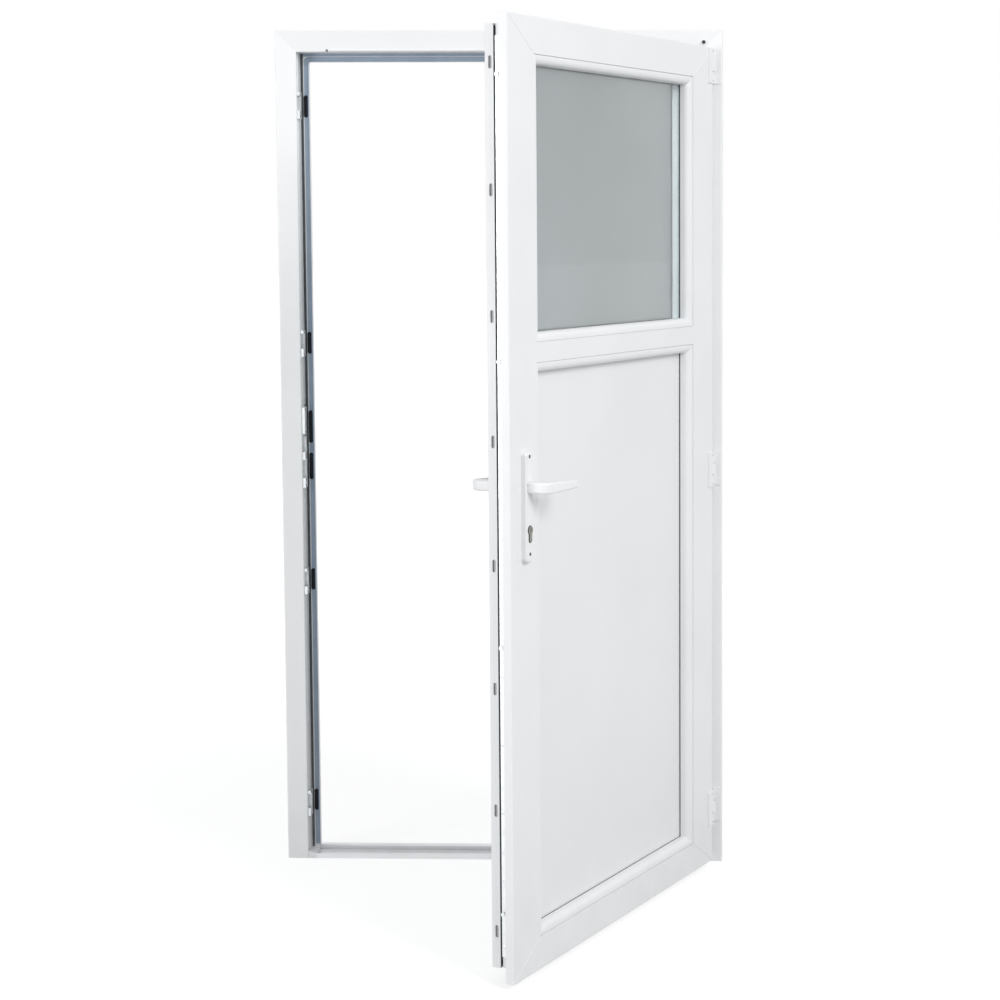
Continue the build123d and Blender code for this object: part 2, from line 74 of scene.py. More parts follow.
leaf_nodes = ("lock_stile", "hinge_stile", "top_rail", "bottom_rail")
shut = [turned_back(v.co) for name in leaf_nodes for v in nodes[name].data.vertices]
leaf_start = Vector((min(p.x for p in shut), min(p.y for p in shut), 0))
leaf_wide = max(p.x for p in shut) - leaf_start.x
leaf_thick = max(p.y for p in shut) - leaf_start.y
leaf_low = min(p.z for p in shut)
leaf_high = max(p.z for p in shut)


def on_leaf(u, n, z):
    """Room coordinates of a place on the leaf."""
    x = leaf_start.x + u - axis_at.x
    y = leaf_start.y + n - axis_at.y
    return Vector((axis_at.x, axis_at.y, z)) + along * x + through * y


def leaf_extent(name):
    """Lowest and highest u, n, z of a solid piece of the leaf."""
    points = [turned_back(v.co) - leaf_start for v in nodes[name].data.vertices]
    low = Vector(min(p[i] for p in points) for i in range(3))
    high = Vector(max(p[i] for p in points) for i in range(3))
    return low, high


def height_groups(name, apart=0.02, keep=lambda point: True):
    """Lowest and highest z of each separate plate, roller or slot in a node."""
    heights = sorted({round(v.co.z, 5) for v in nodes[name].data.vertices if keep(v.co)})
    groups = [[heights[0], heights[0]]]
    for z in heights[1:]:
        if z - groups[-1][1] > apart:
            groups.append([z, z])
        groups[-1][1] = z
    return groups


print("leaf width, thickness, bottom, top:", leaf_wide, leaf_thick, leaf_low, leaf_high)

# %% [markdown]
# ## The camera
# The photograph was taken from the right of the door at eye height with a long lens, and
# the uprights stay nearly parallel. A lens shift slides the picture without tipping the
# camera, as the rising front of a studio camera does. A small shift is used together with
# a slight turn, so that the door is also well framed when it is seen from other sides.

# %% Camera
camera_data = bpy.data.cameras.new("studio_camera")
camera = bpy.data.objects.new("studio_camera", camera_data)
bpy.context.scene.collection.objects.link(camera)
bpy.context.scene.camera = camera
camera.location = (0.6128, -5.2578, 1.5331)
camera.rotation_euler = (radians(90 - 5.097), 0, radians(1.541))
camera_data.sensor_width = 36
camera_data.lens = 79.85
camera_data.shift_x = -0.20
camera_data.shift_y = -0.08
print("camera at", tuple(camera.location), "lens", camera_data.lens)

# %% [markdown]
# ## Light and ground
# White plastic only reads as solid when light falls off gently from one side. One large
# soft lamp stands high in front on the right, where the leaf faces it, and a weaker one
# stands lower on the left, so that the faces of the frame don't go grey towards the floor.
# The world fills in the rest. Its picture for the camera is plain white, which Light Path
# keeps apart from the strength that lights the door.

# %% World
scene = bpy.context.scene
scene.view_settings.view_transform = "Standard"
world = bpy.data.worlds.new("white_studio")
scene.world = world
world.use_nodes = True
sky = world.node_tree
sky.nodes.clear()
sky_out = sky.nodes.new("ShaderNodeOutputWorld")
sky_mix = sky.nodes.new("ShaderNodeMixShader")
lighting = sky.nodes.new("ShaderNodeBackground")
backdrop = sky.nodes.new("ShaderNodeBackground")
lighting.inputs["Color"].default_value = (0.97, 0.985, 1.0, 1)
lighting.inputs["Strength"].default_value = 0.66
backdrop.inputs["Color"].default_value = (1, 1, 1, 1)
backdrop.inputs["Strength"].default_value = 1.0


def seen_directly(tree):
    """One for rays that show the background: straight, mirrored or through glass."""
    path = tree.nodes.new("ShaderNodeLightPath")
    first = tree.nodes.new("ShaderNodeMath")
    second = tree.nodes.new("ShaderNodeMath")
    for node in (first, second):
        node.operation = "MAXIMUM"
    tree.links.new(path.outputs["Is Camera Ray"], first.inputs[0])
    tree.links.new(path.outputs["Is Glossy Ray"], first.inputs[1])
    tree.links.new(first.outputs[0], second.inputs[0])
    tree.links.new(path.outputs["Is Transmission Ray"], second.inputs[1])
    return second.outputs[0]


sky.links.new(seen_directly(sky), sky_mix.inputs[0])
sky.links.new(lighting.outputs[0], sky_mix.inputs[1])
sky.links.new(backdrop.outputs[0], sky_mix.inputs[2])
sky.links.new(sky_mix.outputs[0], sky_out.inputs["Surface"])


def soft_lamp(name, place, aim, size, power):
    """A large square lamp that faces the door."""
    data = bpy.data.lights.new(name, "AREA")
    data.shape = "SQUARE"
    data.size = size
    data.energy = power
    lamp = bpy.data.objects.new(name, data)
    scene.collection.objects.link(lamp)
    lamp.location = place
    lamp.rotation_euler = (Vector(aim) - Vector(place)).to_track_quat("-Z", "Y").to_euler()


soft_lamp("key_lamp", (3.9, -4.1, 4.0), (0.3, -0.4, 1.4), 2.4, 168)
soft_lamp("front_lamp", (-4.2, -4.1, 1.6), (-0.1, -0.3, 0.9), 2.4, 112)
print("lamps:", [lamp.name for lamp in bpy.data.lights])

# %% [markdown]
# The floor has to be as pale as the background, or its far edge shows as a horizon, and yet
# it has to keep the soft shadow under the leaf and the threshold. A plain white floor under
# these lamps is too bright near the door and too dark far off. Here a matt grey takes the
# shadow, and a glow that only the camera, mirrors and glass see lifts it towards white, a
# little more with distance.

# %% Floor
floor_material = bpy.data.materials.new("pale_floor")
floor_material.use_nodes = True
ground = floor_material.node_tree
ground.nodes.clear()
ground_out = ground.nodes.new("ShaderNodeOutputMaterial")
ground_sum = ground.nodes.new("ShaderNodeAddShader")
ground_matt = ground.nodes.new("ShaderNodeBsdfDiffuse")
ground_glow = ground.nodes.new("ShaderNodeEmission")
ground_level = ground.nodes.new("ShaderNodeMath")
ground_level.operation = "MULTIPLY"
ground_place = ground.nodes.new("ShaderNodeTexCoord")
ground_away = ground.nodes.new("ShaderNodeVectorMath")
ground_away.operation = "LENGTH"
ground_rise = ground.nodes.new("ShaderNodeMapRange")
ground_rise.interpolation_type = "SMOOTHSTEP"
ground_rise.inputs["From Min"].default_value = 0.8
ground_rise.inputs["From Max"].default_value = 4.0
ground_rise.inputs["To Min"].default_value = 0.66
ground_rise.inputs["To Max"].default_value = 0.84
ground_matt.inputs["Color"].default_value = (0.45, 0.45, 0.45, 1)
ground.links.new(ground_place.outputs["Object"], ground_away.inputs[0])
ground.links.new(ground_away.outputs["Value"], ground_rise.inputs["Value"])
ground.links.new(seen_directly(ground), ground_level.inputs[0])
ground.links.new(ground_rise.outputs["Result"], ground_level.inputs[1])
ground.links.new(ground_level.outputs[0], ground_glow.inputs["Strength"])
ground.links.new(ground_matt.outputs[0], ground_sum.inputs[0])
ground.links.new(ground_glow.outputs[0], ground_sum.inputs[1])
ground.links.new(ground_sum.outputs[0], ground_out.inputs["Surface"])
floor_mesh = bpy.data.meshes.new("floor")
floor_half = 60
corners = [(-floor_half, -floor_half, 0), (floor_half, -floor_half, 0),
           (floor_half, floor_half, 0), (-floor_half, floor_half, 0)]
floor_mesh.from_pydata(corners, [], [(0, 1, 2, 3)])
floor_mesh.materials.append(floor_material)
floor = bpy.data.objects.new("floor", floor_mesh)
floor.location.z = -0.0005    # half a millimetre under the threshold, so that no two faces coincide
scene.collection.objects.link(floor)
print("floor half width", floor_half)

# %% [markdown]
# ## Shared surface effects
# Moulded plastic, powder coat and rubber are never one even colour: they carry a fine
# grain, broad patches that are a little cleaner or duller, and streaks in the direction
# in which they were drawn. One node group makes all three, and each material gives it its
# own colours and sizes. It puts out a colour, a roughness and a height, and the shader
# itself stays in the material, where an exporter can read it.

# %% Helper for node groups


def shader_group(name, inputs, outputs):
    """A node group with named sockets. Returns the tree and its two end nodes."""
    tree = bpy.data.node_groups.new(name, "ShaderNodeTree")
    for label, kind, value in inputs:
        socket = tree.interface.new_socket(label, in_out="INPUT", socket_type=kind)
        socket.default_value = value
    for label, kind in outputs:
        tree.interface.new_socket(label, in_out="OUTPUT", socket_type=kind)
    return tree, tree.nodes.new("NodeGroupInput"), tree.nodes.new("NodeGroupOutput")


def noise(tree, vector, scale, detail=3.0):
    """A noise texture whose scale may be a number or a socket."""
    node = tree.nodes.new("ShaderNodeTexNoise")
    node.inputs["Detail"].default_value = detail
    tree.links.new(vector, node.inputs["Vector"])
    if isinstance(scale, (int, float)):
        node.inputs["Scale"].default_value = scale
    else:
        tree.links.new(scale, node.inputs["Scale"])
    return node.outputs[0]


def mixed(tree, factor, first, second):
    """A colour between two sockets."""
    node = tree.nodes.new("ShaderNodeMix")
    node.data_type = "RGBA"
    tree.links.new(factor, node.inputs[0])
    tree.links.new(first, node.inputs[6])
    tree.links.new(second, node.inputs[7])
    return node.outputs[2]


def calculated(tree, operation, first, second):
    """A Math node on two sockets or numbers."""
    node = tree.nodes.new("ShaderNodeMath")
    node.operation = operation
    for slot, value in enumerate((first, second)):
        if isinstance(value, (int, float)):
            node.inputs[slot].default_value = value
        else:
            tree.links.new(value, node.inputs[slot])
    return node.outputs[0]


def contrast(tree, value, low, high):
    """Stretches the middle of a noise to the full range."""
    node = tree.nodes.new("ShaderNodeMapRange")
    node.inputs["From Min"].default_value = low
    node.inputs["From Max"].default_value = high
    tree.links.new(value, node.inputs["Value"])
    return node.outputs["Result"]


# %% Grain, patches and streaks
drawn_surface, given, result = shader_group(
    "drawn_surface",
    [
        ("Colour", "NodeSocketColor", (0.8, 0.8, 0.8, 1)),
        ("Patch Colour", "NodeSocketColor", (0.75, 0.75, 0.75, 1)),
        ("Patches per Metre", "NodeSocketFloat", 6.0),
        ("Grain per Metre", "NodeSocketFloat", 500.0),
        ("Stretch", "NodeSocketVector", (1, 1, 0.05)),
        ("Turn", "NodeSocketFloat", 0.0),
        ("Roughness", "NodeSocketFloat", 0.3),
        ("Roughness Spread", "NodeSocketFloat", 0.06),
        ("Streak Depth", "NodeSocketFloat", 0.4),
    ],
    [("Colour", "NodeSocketColor"), ("Roughness", "NodeSocketFloat"), ("Height", "NodeSocketFloat")],
)
place = drawn_surface.nodes.new("ShaderNodeTexCoord").outputs["Object"]
turn = drawn_surface.nodes.new("ShaderNodeVectorRotate")
turn.rotation_type = "Z_AXIS"
drawn_surface.links.new(place, turn.inputs["Vector"])
drawn_surface.links.new(given.outputs["Turn"], turn.inputs["Angle"])
stretch = drawn_surface.nodes.new("ShaderNodeVectorMath")
stretch.operation = "MULTIPLY"
drawn_surface.links.new(turn.outputs[0], stretch.inputs[0])
drawn_surface.links.new(given.outputs["Stretch"], stretch.inputs[1])
broad = noise(drawn_surface, place, given.outputs["Patches per Metre"], 4.0)
patches = contrast(drawn_surface, broad, 0.3, 0.7)
grain = noise(drawn_surface, place, given.outputs["Grain per Metre"], 2.0)
streaks = noise(drawn_surface, stretch.outputs[0], given.outputs["Grain per Metre"], 2.0)
tone = mixed(drawn_surface, patches, given.outputs["Colour"], given.outputs["Patch Colour"])
drawn_surface.links.new(tone, result.inputs["Colour"])
wander = calculated(drawn_surface, "MULTIPLY", patches, given.outputs["Roughness Spread"])
dull = calculated(drawn_surface, "ADD", given.outputs["Roughness"], wander)
drawn_surface.links.new(dull, result.inputs["Roughness"])
lines = calculated(drawn_surface, "MULTIPLY", streaks, given.outputs["Streak Depth"])
relief = calculated(drawn_surface, "ADD", grain, lines)
drawn_surface.links.new(relief, result.inputs["Height"])
print("group", drawn_surface.name, [item.name for item in drawn_surface.interface.items_tree])

# %% [markdown]
# The second group takes any colour and greys it towards a warm grey near the floor, most
# in the last hand's width above it, broken up with noise so that no straight edge shows.

# %% Darker towards the ground
floor_darkening, given, result = shader_group(
    "floor_darkening",
    [
        ("Colour", "NodeSocketColor", (0.8, 0.8, 0.8, 1)),
        ("Low Colour", "NodeSocketColor", (0.62, 0.6, 0.57, 1)),
        ("Reach", "NodeSocketFloat", 0.35),
        ("Amount", "NodeSocketFloat", 0.25),
    ],
    [("Colour", "NodeSocketColor")],
)
place = floor_darkening.nodes.new("ShaderNodeTexCoord").outputs["Object"]
parts_of = floor_darkening.nodes.new("ShaderNodeSeparateXYZ")
floor_darkening.links.new(place, parts_of.inputs[0])
rise = calculated(floor_darkening, "DIVIDE", parts_of.outputs["Z"], given.outputs["Reach"])
fade = floor_darkening.nodes.new("ShaderNodeMapRange")
fade.interpolation_type = "SMOOTHSTEP"
fade.inputs["To Min"].default_value = 1
fade.inputs["To Max"].default_value = 0
floor_darkening.links.new(rise, fade.inputs["Value"])
cloud = contrast(floor_darkening, noise(floor_darkening, place, 14.0, 5.0), 0.25, 0.75)
bottom_tone = calculated(floor_darkening, "MULTIPLY", fade.outputs["Result"], cloud)
bottom_tone = calculated(floor_darkening, "MULTIPLY", bottom_tone, given.outputs["Amount"])
greyed = mixed(floor_darkening, bottom_tone, given.outputs["Colour"], given.outputs["Low Colour"])
floor_darkening.links.new(greyed, result.inputs["Colour"])
print("group", floor_darkening.name)

# %% [markdown]
# ## Materials
# Each material is one shader fed by the two groups. The grain is a few tenths of a
# millimetre, so the highlights break up softly and no pattern is seen from a distance.
# Uprights are drawn along z and rails along their own length, which for the open leaf
# lies at the leaf's angle: the Turn input lines the streaks up with each bar.

# %% Material maker


def finish(name, colour, patch, rough, spread=0.05, patch_scale=6.0, grain=500.0, stretch=(1, 1, 0.04),
           turn=0.0, streak=0.4, bump=0.1, depth=0.0002, low_darkening=0.2, **constants):
    """A Principled material on the two groups. Extra words set the shader's own sockets."""
    material = bpy.data.materials.new(name)
    material.use_nodes = True
    tree = material.node_tree
    shader = tree.nodes["Principled BSDF"]
    surface = tree.nodes.new("ShaderNodeGroup")
    surface.node_tree = drawn_surface
    surface.inputs["Colour"].default_value = (*colour, 1)
    surface.inputs["Patch Colour"].default_value = (*patch, 1)
    surface.inputs["Patches per Metre"].default_value = patch_scale
    surface.inputs["Grain per Metre"].default_value = grain
    surface.inputs["Stretch"].default_value = stretch
    surface.inputs["Turn"].default_value = turn
    surface.inputs["Roughness"].default_value = rough
    surface.inputs["Roughness Spread"].default_value = spread
    surface.inputs["Streak Depth"].default_value = streak
    bottom_tone = tree.nodes.new("ShaderNodeGroup")
    bottom_tone.node_tree = floor_darkening
    bottom_tone.inputs["Amount"].default_value = low_darkening
    tree.links.new(surface.outputs["Colour"], bottom_tone.inputs["Colour"])
    tree.links.new(bottom_tone.outputs["Colour"], shader.inputs["Base Color"])
    tree.links.new(surface.outputs["Roughness"], shader.inputs["Roughness"])
    raised = tree.nodes.new("ShaderNodeBump")
    raised.inputs["Strength"].default_value = bump
    raised.inputs["Distance"].default_value = depth
    tree.links.new(surface.outputs["Height"], raised.inputs["Height"])
    tree.links.new(raised.outputs["Normal"], shader.inputs["Normal"])
    for word, value in constants.items():
        shader.inputs[word.replace("_", " ")].default_value = value
    return material


# %% [markdown]
# Window plastic is a slightly cool white with a satin gloss and a thin clear skin. The
# handles and hinges are coated metal, smoother and more neutral. Black parts of the hardware
# hardly mirror anything, so their specular level is low. The frame's uprights get less of
# the lamps than its head does, so their white is a touch brighter.

# %% White plastic, coated metal, seals
white = (0.865, 0.872, 0.878)
white_patch = (0.835, 0.845, 0.856)
along_x = (0.04, 1, 1)    # squeezes the noise across x, which draws the streaks out along x
plastic = dict(rough=0.33, spread=0.08, grain=420.0, bump=0.12, Coat_Weight=0.05)
frame_upright = finish("frame_upright_plastic", (0.91, 0.915, 0.918), (0.885, 0.892, 0.9), **plastic)
frame_cross = finish("frame_cross_plastic", white, white_patch, stretch=along_x, **plastic)
leaf_upright = finish("leaf_upright_plastic", white, white_patch, **plastic)
leaf_cross = finish("leaf_cross_plastic", white, white_patch, stretch=along_x, turn=-opened, **plastic)
panel_skin = finish("panel_skin", (0.85, 0.857, 0.868), (0.825, 0.832, 0.845), 0.34, spread=0.1,
                    patch_scale=3.0, grain=900.0, bump=0.16, streak=0.1)
white_metal = finish("white_coated_metal", (0.87, 0.872, 0.875), (0.845, 0.848, 0.855), 0.3, spread=0.06,
                     grain=1400.0, bump=0.22, streak=0.0, low_darkening=0.0, Coat_Weight=0.25)
# Grey-blue is the seals' own colour on the bulb and the head's seal, and painted shade on the thin sheet on the
# stop.
grey_blue_seal_and_shade = finish("grey_blue_seal_and_shade", (0.34, 0.42, 0.52), (0.3, 0.375, 0.47), 0.42, spread=0.12, patch_scale=30.0,
                   grain=1200.0, bump=0.2, low_darkening=0.1)
slot_grey = finish("slot_grey_plastic", (0.46, 0.46, 0.47), (0.4, 0.4, 0.41), 0.5, grain=1500.0, bump=0.2,
                   low_darkening=0.0)
# The seams' white is a touch lighter than the profile's: a painted highlight along each seam.
seam_highlight_white = finish("weld_seam_highlight_plastic", (0.9, 0.902, 0.905), (0.86, 0.865, 0.87), 0.4, spread=0.1,
                    patch_scale=80.0, grain=900.0, bump=0.2, streak=0.0)
# Black plastic for the keeps' pads; the same black paints the shade in the stile's channel and round the key
# cylinder.
black_plastic_and_shade = finish("black_plastic_and_shade", (0.010, 0.012, 0.017), (0.016, 0.019, 0.025), 0.38, spread=0.1,
                       patch_scale=60.0, grain=1500.0, bump=0.2, low_darkening=0.0, Specular_IOR_Level=0.12)
rubber = finish("dark_rubber", (0.045, 0.052, 0.06), (0.075, 0.085, 0.095), 0.55, spread=0.15,
                patch_scale=40.0, grain=1600.0, bump=0.3, low_darkening=0.3)
print("white finishes ready")

# %% [markdown]
# ## Metals
# The hardware is zinc-plated steel, the threshold is drawn aluminium and the keyed
# cylinder is satin nickel. All three are true metals, so their colour is in the
# reflection. Drawing leaves long fine lines, which come from a strong stretch.

# %% Metal finishes
zinc = finish("zinc_plated_steel", (0.72, 0.75, 0.77), (0.6, 0.62, 0.63), 0.36, spread=0.18,
              patch_scale=60.0, grain=900.0, bump=0.3, low_darkening=0.0, Metallic=1.0)
dark_steel = finish("blackened_steel", (0.07, 0.07, 0.07), (0.04, 0.04, 0.045), 0.4, spread=0.15,
                    patch_scale=90.0, grain=1500.0, bump=0.3, low_darkening=0.0, Metallic=0.6)
sill_metal = finish("drawn_aluminium", (0.74, 0.75, 0.77), (0.66, 0.67, 0.69), 0.3, spread=0.12,
                    patch_scale=9.0, grain=1500.0, stretch=(0.01, 1, 1), streak=1.2, bump=0.3,
                    low_darkening=0.25, Metallic=1.0)
nickel = finish("satin_nickel", (0.3, 0.3, 0.28), (0.22, 0.22, 0.2), 0.26, spread=0.15,
                patch_scale=90.0, grain=2500.0, stretch=(1, 1, 0.05), streak=1.0, bump=0.35,
                low_darkening=0.0, Metallic=1.0)
spacer_metal = finish("folded_spacer", (0.9, 0.94, 0.96), (0.85, 0.9, 0.92), 0.45, grain=1200.0,
                      low_darkening=0.0, Metallic=0.1)
print("metal finishes ready")

# %% [markdown]
# ## Glass
# The window in the photograph is an even grey, and nothing behind it can be made out.
# Two clear panes would show the white studio. So the far pane is satin, which scatters
# what lies behind it, and is tinted grey with a little green, while the near pane stays
# clear and lets the pale spacer show along the edges. Transmission stays a plain number;
# only the colour and the roughness come from nodes. Glass normally blocks the lamps and
# leaves what is behind it too dark, so the clear pane turns transparent for shadow rays.

# %% Glass
def pane_material(name, tint, patch, rough):
    """Tinted glass with a barely uneven surface."""
    material = finish(name, tint, patch, rough, spread=0.03, patch_scale=2.5, grain=9.0, stretch=(1, 1, 1),
                      streak=0.0, bump=0.05, depth=0.001, low_darkening=0.0, Transmission_Weight=1.0, IOR=1.5)
    return material


def let_lamps_through(material, tint):
    """Clear glass that casts no solid shadow on what lies behind it."""
    tree = material.node_tree
    path = tree.nodes.new("ShaderNodeLightPath")
    passing = tree.nodes.new("ShaderNodeBsdfTransparent")
    blend = tree.nodes.new("ShaderNodeMixShader")
    passing.inputs["Color"].default_value = (*tint, 1)
    tree.links.new(path.outputs["Is Shadow Ray"], blend.inputs[0])
    tree.links.new(tree.nodes["Principled BSDF"].outputs[0], blend.inputs[1])
    tree.links.new(passing.outputs[0], blend.inputs[2])
    tree.links.new(blend.outputs[0], tree.nodes["Material Output"].inputs["Surface"])


near_glass = pane_material("clear_glass", (0.93, 0.95, 0.95), (0.92, 0.94, 0.94), 0.02)
let_lamps_through(near_glass, (0.9, 0.92, 0.92))
far_glass = pane_material("satin_glass", (0.385, 0.425, 0.435), (0.32, 0.352, 0.362), 0.35)
print("glass ready")

# %% [markdown]
# ## From finish to piece
# The record names a material slot for every solid piece, and most pieces take the finish of
# their slot. A few need another one: a rail's streaks run across an upright's, the far pane
# isn't clear like the near one, the keeps' pads are harder and darker than a seal, and the
# head's seal is a pale grey-blue, lighter than the dark rubber of the seals on the jambs.

# %% Finishes on the solid pieces
by_slot = {
    "panel_skin": panel_skin, "white_metal": white_metal, "window_glass": near_glass,
    "spacer_metal": spacer_metal, "zinc_steel": zinc, "nickel_cylinder": nickel,
    "sill_aluminium": sill_metal, "rubber_seal": rubber, "white_profile": leaf_upright,
}
by_name = {
    "lock_jamb": frame_upright, "hinge_jamb": frame_upright, "head": frame_cross,
    "top_rail": leaf_cross, "middle_rail": leaf_cross, "bottom_rail": leaf_cross,
    "glass_bead_top": leaf_cross, "glass_bead_bottom": leaf_cross,
    "panel_bead_top": leaf_cross, "panel_bead_bottom": leaf_cross,
    "glass_far_pane": far_glass, "head_gasket": grey_blue_seal_and_shade, "keep_pads": black_plastic_and_shade,
}


def shade_by_angle(mesh, limit=28):
    """Smooth faces, with edges sharper than the limit kept crisp."""
    mesh.shade_smooth()
    mesh.set_sharp_from_angle(angle=radians(limit))


for part in frame["record"]["subparts"]:
    mesh = nodes[part["node"]].data
    mesh.materials.clear()
    mesh.materials.append(by_name.get(part["node"], by_slot[part["material_slot"]]))

# %% [markdown]
# ## Screws
# Screws are alike but never turned to the same angle. They could be copied by hand, but
# Geometry Nodes does it with one tree: it reads marked points with a facing direction,
# sets one head on each, turns each by a random angle with a fixed seed, makes the copies
# real and gives them their finish. The head itself is a low countersunk dome with a
# cross recess, cut as a plus-shaped hole with its own walls and floor.

# %% One screw head


def screw_head(name, rim=1.0, arm=0.52, half_arm=0.13, sunk=0.34):
    """Unit-radius screw head with a cross recess, facing z."""
    bm = bmesh.new()
    sides = 24
    foot = []
    edge = []
    crown = []
    for i in range(sides):
        a = 2 * pi * i / sides
        foot.append(bm.verts.new((rim * cos(a), rim * sin(a), -0.5)))
        edge.append(bm.verts.new((rim * cos(a), rim * sin(a), 0.02)))
        crown.append(bm.verts.new((0.84 * cos(a), 0.84 * sin(a), 0.13)))
    w = half_arm
    plus = [(arm, -w), (arm, w), (w, w), (w, arm), (-w, arm), (-w, w),
            (-arm, w), (-arm, -w), (-w, -w), (-w, -arm), (w, -arm), (w, -w)]
    lip = [bm.verts.new((x, y, 0.17)) for x, y in plus]
    pit = [bm.verts.new((x * 0.8, y * 0.8, -sunk)) for x, y in plus]
    for i in range(sides):
        j = (i + 1) % sides
        bm.faces.new((foot[i], foot[j], edge[j], edge[i]))
        bm.faces.new((edge[i], edge[j], crown[j], crown[i]))
    for i in range(12):
        j = (i + 1) % 12
        bm.faces.new((lip[j], lip[i], pit[i], pit[j]))
    bm.faces.new(list(reversed(foot)))
    bm.faces.new(pit)
    ring_edges = [bm.edges.get((crown[i], crown[(i + 1) % sides])) for i in range(sides)]
    ring_edges += [bm.edges.get((lip[i], lip[(i + 1) % 12])) for i in range(12)]
    bmesh.ops.triangle_fill(bm, edges=ring_edges, use_beauty=True, use_dissolve=False, normal=(0, 0, 1))
    bmesh.ops.recalc_face_normals(bm, faces=bm.faces)
    mesh = bpy.data.meshes.new(name)
    bm.to_mesh(mesh)
    bm.free()
    return bpy.data.objects.new(name, mesh)


cross_head = screw_head("cross_head")
print("screw head triangles:", sum(len(p.vertices) - 2 for p in cross_head.data.polygons))

# %% [markdown]
# The copying tree is wired here. The facing of each point is read from an attribute, the
# head's z axis is lined up with it, and the turn about that axis is drawn between two
# inputs. With the same number in both, every copy stands the same way, which suits liners.

# %% Screw tree


def geometry_tree(name, inputs):
    """A Geometry Nodes tree with a Geometry input, the named inputs, and a Geometry output."""
    tree = bpy.data.node_groups.new(name, "GeometryNodeTree")
    tree.interface.new_socket("Geometry", in_out="INPUT", socket_type="NodeSocketGeometry")
    for label, kind, value in inputs:
        socket = tree.interface.new_socket(label, in_out="INPUT", socket_type=kind)
        if value is not None:
            socket.default_value = value
    tree.interface.new_socket("Geometry", in_out="OUTPUT", socket_type="NodeSocketGeometry")
    return tree, tree.nodes.new("NodeGroupInput"), tree.nodes.new("NodeGroupOutput")


def close_tree(tree, given, result, geometry):
    """Make the copies real and give them the tree's finish."""
    real = tree.nodes.new("GeometryNodeRealizeInstances")
    coat = tree.nodes.new("GeometryNodeSetMaterial")
    tree.links.new(geometry, real.inputs[0])
    tree.links.new(real.outputs[0], coat.inputs["Geometry"])
    tree.links.new(given.outputs["Finish"], coat.inputs["Material"])
    tree.links.new(coat.outputs[0], result.inputs[0])


screw_tree, given, result = geometry_tree("screws_on_points", [
    ("Head", "NodeSocketObject", None),
    ("Radius", "NodeSocketFloat", 0.004),
    ("Turn Seed", "NodeSocketInt", 4),
    ("Turn From", "NodeSocketFloat", 0.0),
    ("Turn To", "NodeSocketFloat", 2 * pi),
    ("Finish", "NodeSocketMaterial", None),
])
shape = screw_tree.nodes.new("GeometryNodeObjectInfo")
facing = screw_tree.nodes.new("GeometryNodeInputNamedAttribute")
facing.data_type = "FLOAT_VECTOR"
facing.inputs["Name"].default_value = "facing"
aim = screw_tree.nodes.new("FunctionNodeAlignRotationToVector")
aim.axis = "Z"
spin = screw_tree.nodes.new("FunctionNodeRandomValue")
spin.data_type = "FLOAT"
about = screw_tree.nodes.new("FunctionNodeAxisAngleToRotation")
about.inputs["Axis"].default_value = (0, 0, 1)
both = screw_tree.nodes.new("FunctionNodeRotateRotation")
both.rotation_space = "LOCAL"
copies = screw_tree.nodes.new("GeometryNodeInstanceOnPoints")
links = screw_tree.links
links.new(given.outputs["Head"], shape.inputs["Object"])
links.new(facing.outputs["Attribute"], aim.inputs["Vector"])
links.new(given.outputs["Turn Seed"], spin.inputs["Seed"])
links.new(given.outputs["Turn From"], spin.inputs[2])
links.new(given.outputs["Turn To"], spin.inputs[3])
links.new(spin.outputs[1], about.inputs["Angle"])
links.new(aim.outputs[0], both.inputs["Rotation"])
links.new(about.outputs[0], both.inputs["Rotate By"])
links.new(given.outputs["Geometry"], copies.inputs["Points"])
links.new(shape.outputs["Geometry"], copies.inputs["Instance"])
links.new(both.outputs[0], copies.inputs["Rotation"])
links.new(given.outputs["Radius"], copies.inputs["Scale"])
close_tree(screw_tree, given, result, copies.outputs[0])
print("tree", screw_tree.name)

# %% [markdown]
# A modifier's inputs are set by the identifier of the socket. The result is read from the
# evaluated object, stored as a plain mesh, and the modifier is taken off, so that the
# piece holds real faces. Every piece then rides on the body that carries it.

# %% From tree to plain piece


def grown(name, start_mesh, tree, values, body):
    """Runs a tree on a start mesh and keeps the plain result as one piece."""
    piece = bpy.data.objects.new(name, start_mesh)
    scene.collection.objects.link(piece)
    modifier = piece.modifiers.new("tree", "NODES")
    modifier.node_group = tree
    sockets = {item.name: item.identifier for item in tree.interface.items_tree if item.in_out == "INPUT"}
    for label, value in values.items():
        modifier[sockets[label]] = value
    bpy.context.view_layer.update()
    evaluated = piece.evaluated_get(bpy.context.evaluated_depsgraph_get())
    plain = bpy.data.meshes.new_from_object(evaluated)
    plain.name = name
    piece.modifiers.clear()
    piece.data = plain
    shade_by_angle(plain)
    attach(piece, body)
    print(name, "faces:", len(plain.polygons))
    return piece


def marked_points(name, places):
    """A mesh of loose points that each know which way they face."""
    mesh = bpy.data.meshes.new(name)
    mesh.from_pydata([spot for spot, facing in places], [], [])
    directions = mesh.attributes.new("facing", "FLOAT_VECTOR", "POINT")
    for i, (spot, way) in enumerate(places):
        directions.data[i].vector = way
    return mesh


def screws(name, places, radius, seed, material, body):
    """Screw heads on marked places."""
    values = {"Head": cross_head, "Radius": radius, "Turn Seed": seed, "Finish": material}
    return grown(name, marked_points(name, places), screw_tree, values, body)


# %% [markdown]
# ## Strips along a path
# Soft seals, weld seams and cover strips all have one small section carried along a line.
# They could be modelled bar by bar, but the corners then need cutting. A second tree takes
# a path of points, rounds its corners, and carries a rounded rectangle along it. Width and
# thickness are inputs, so the same tree makes a round bulb or a flat strip.

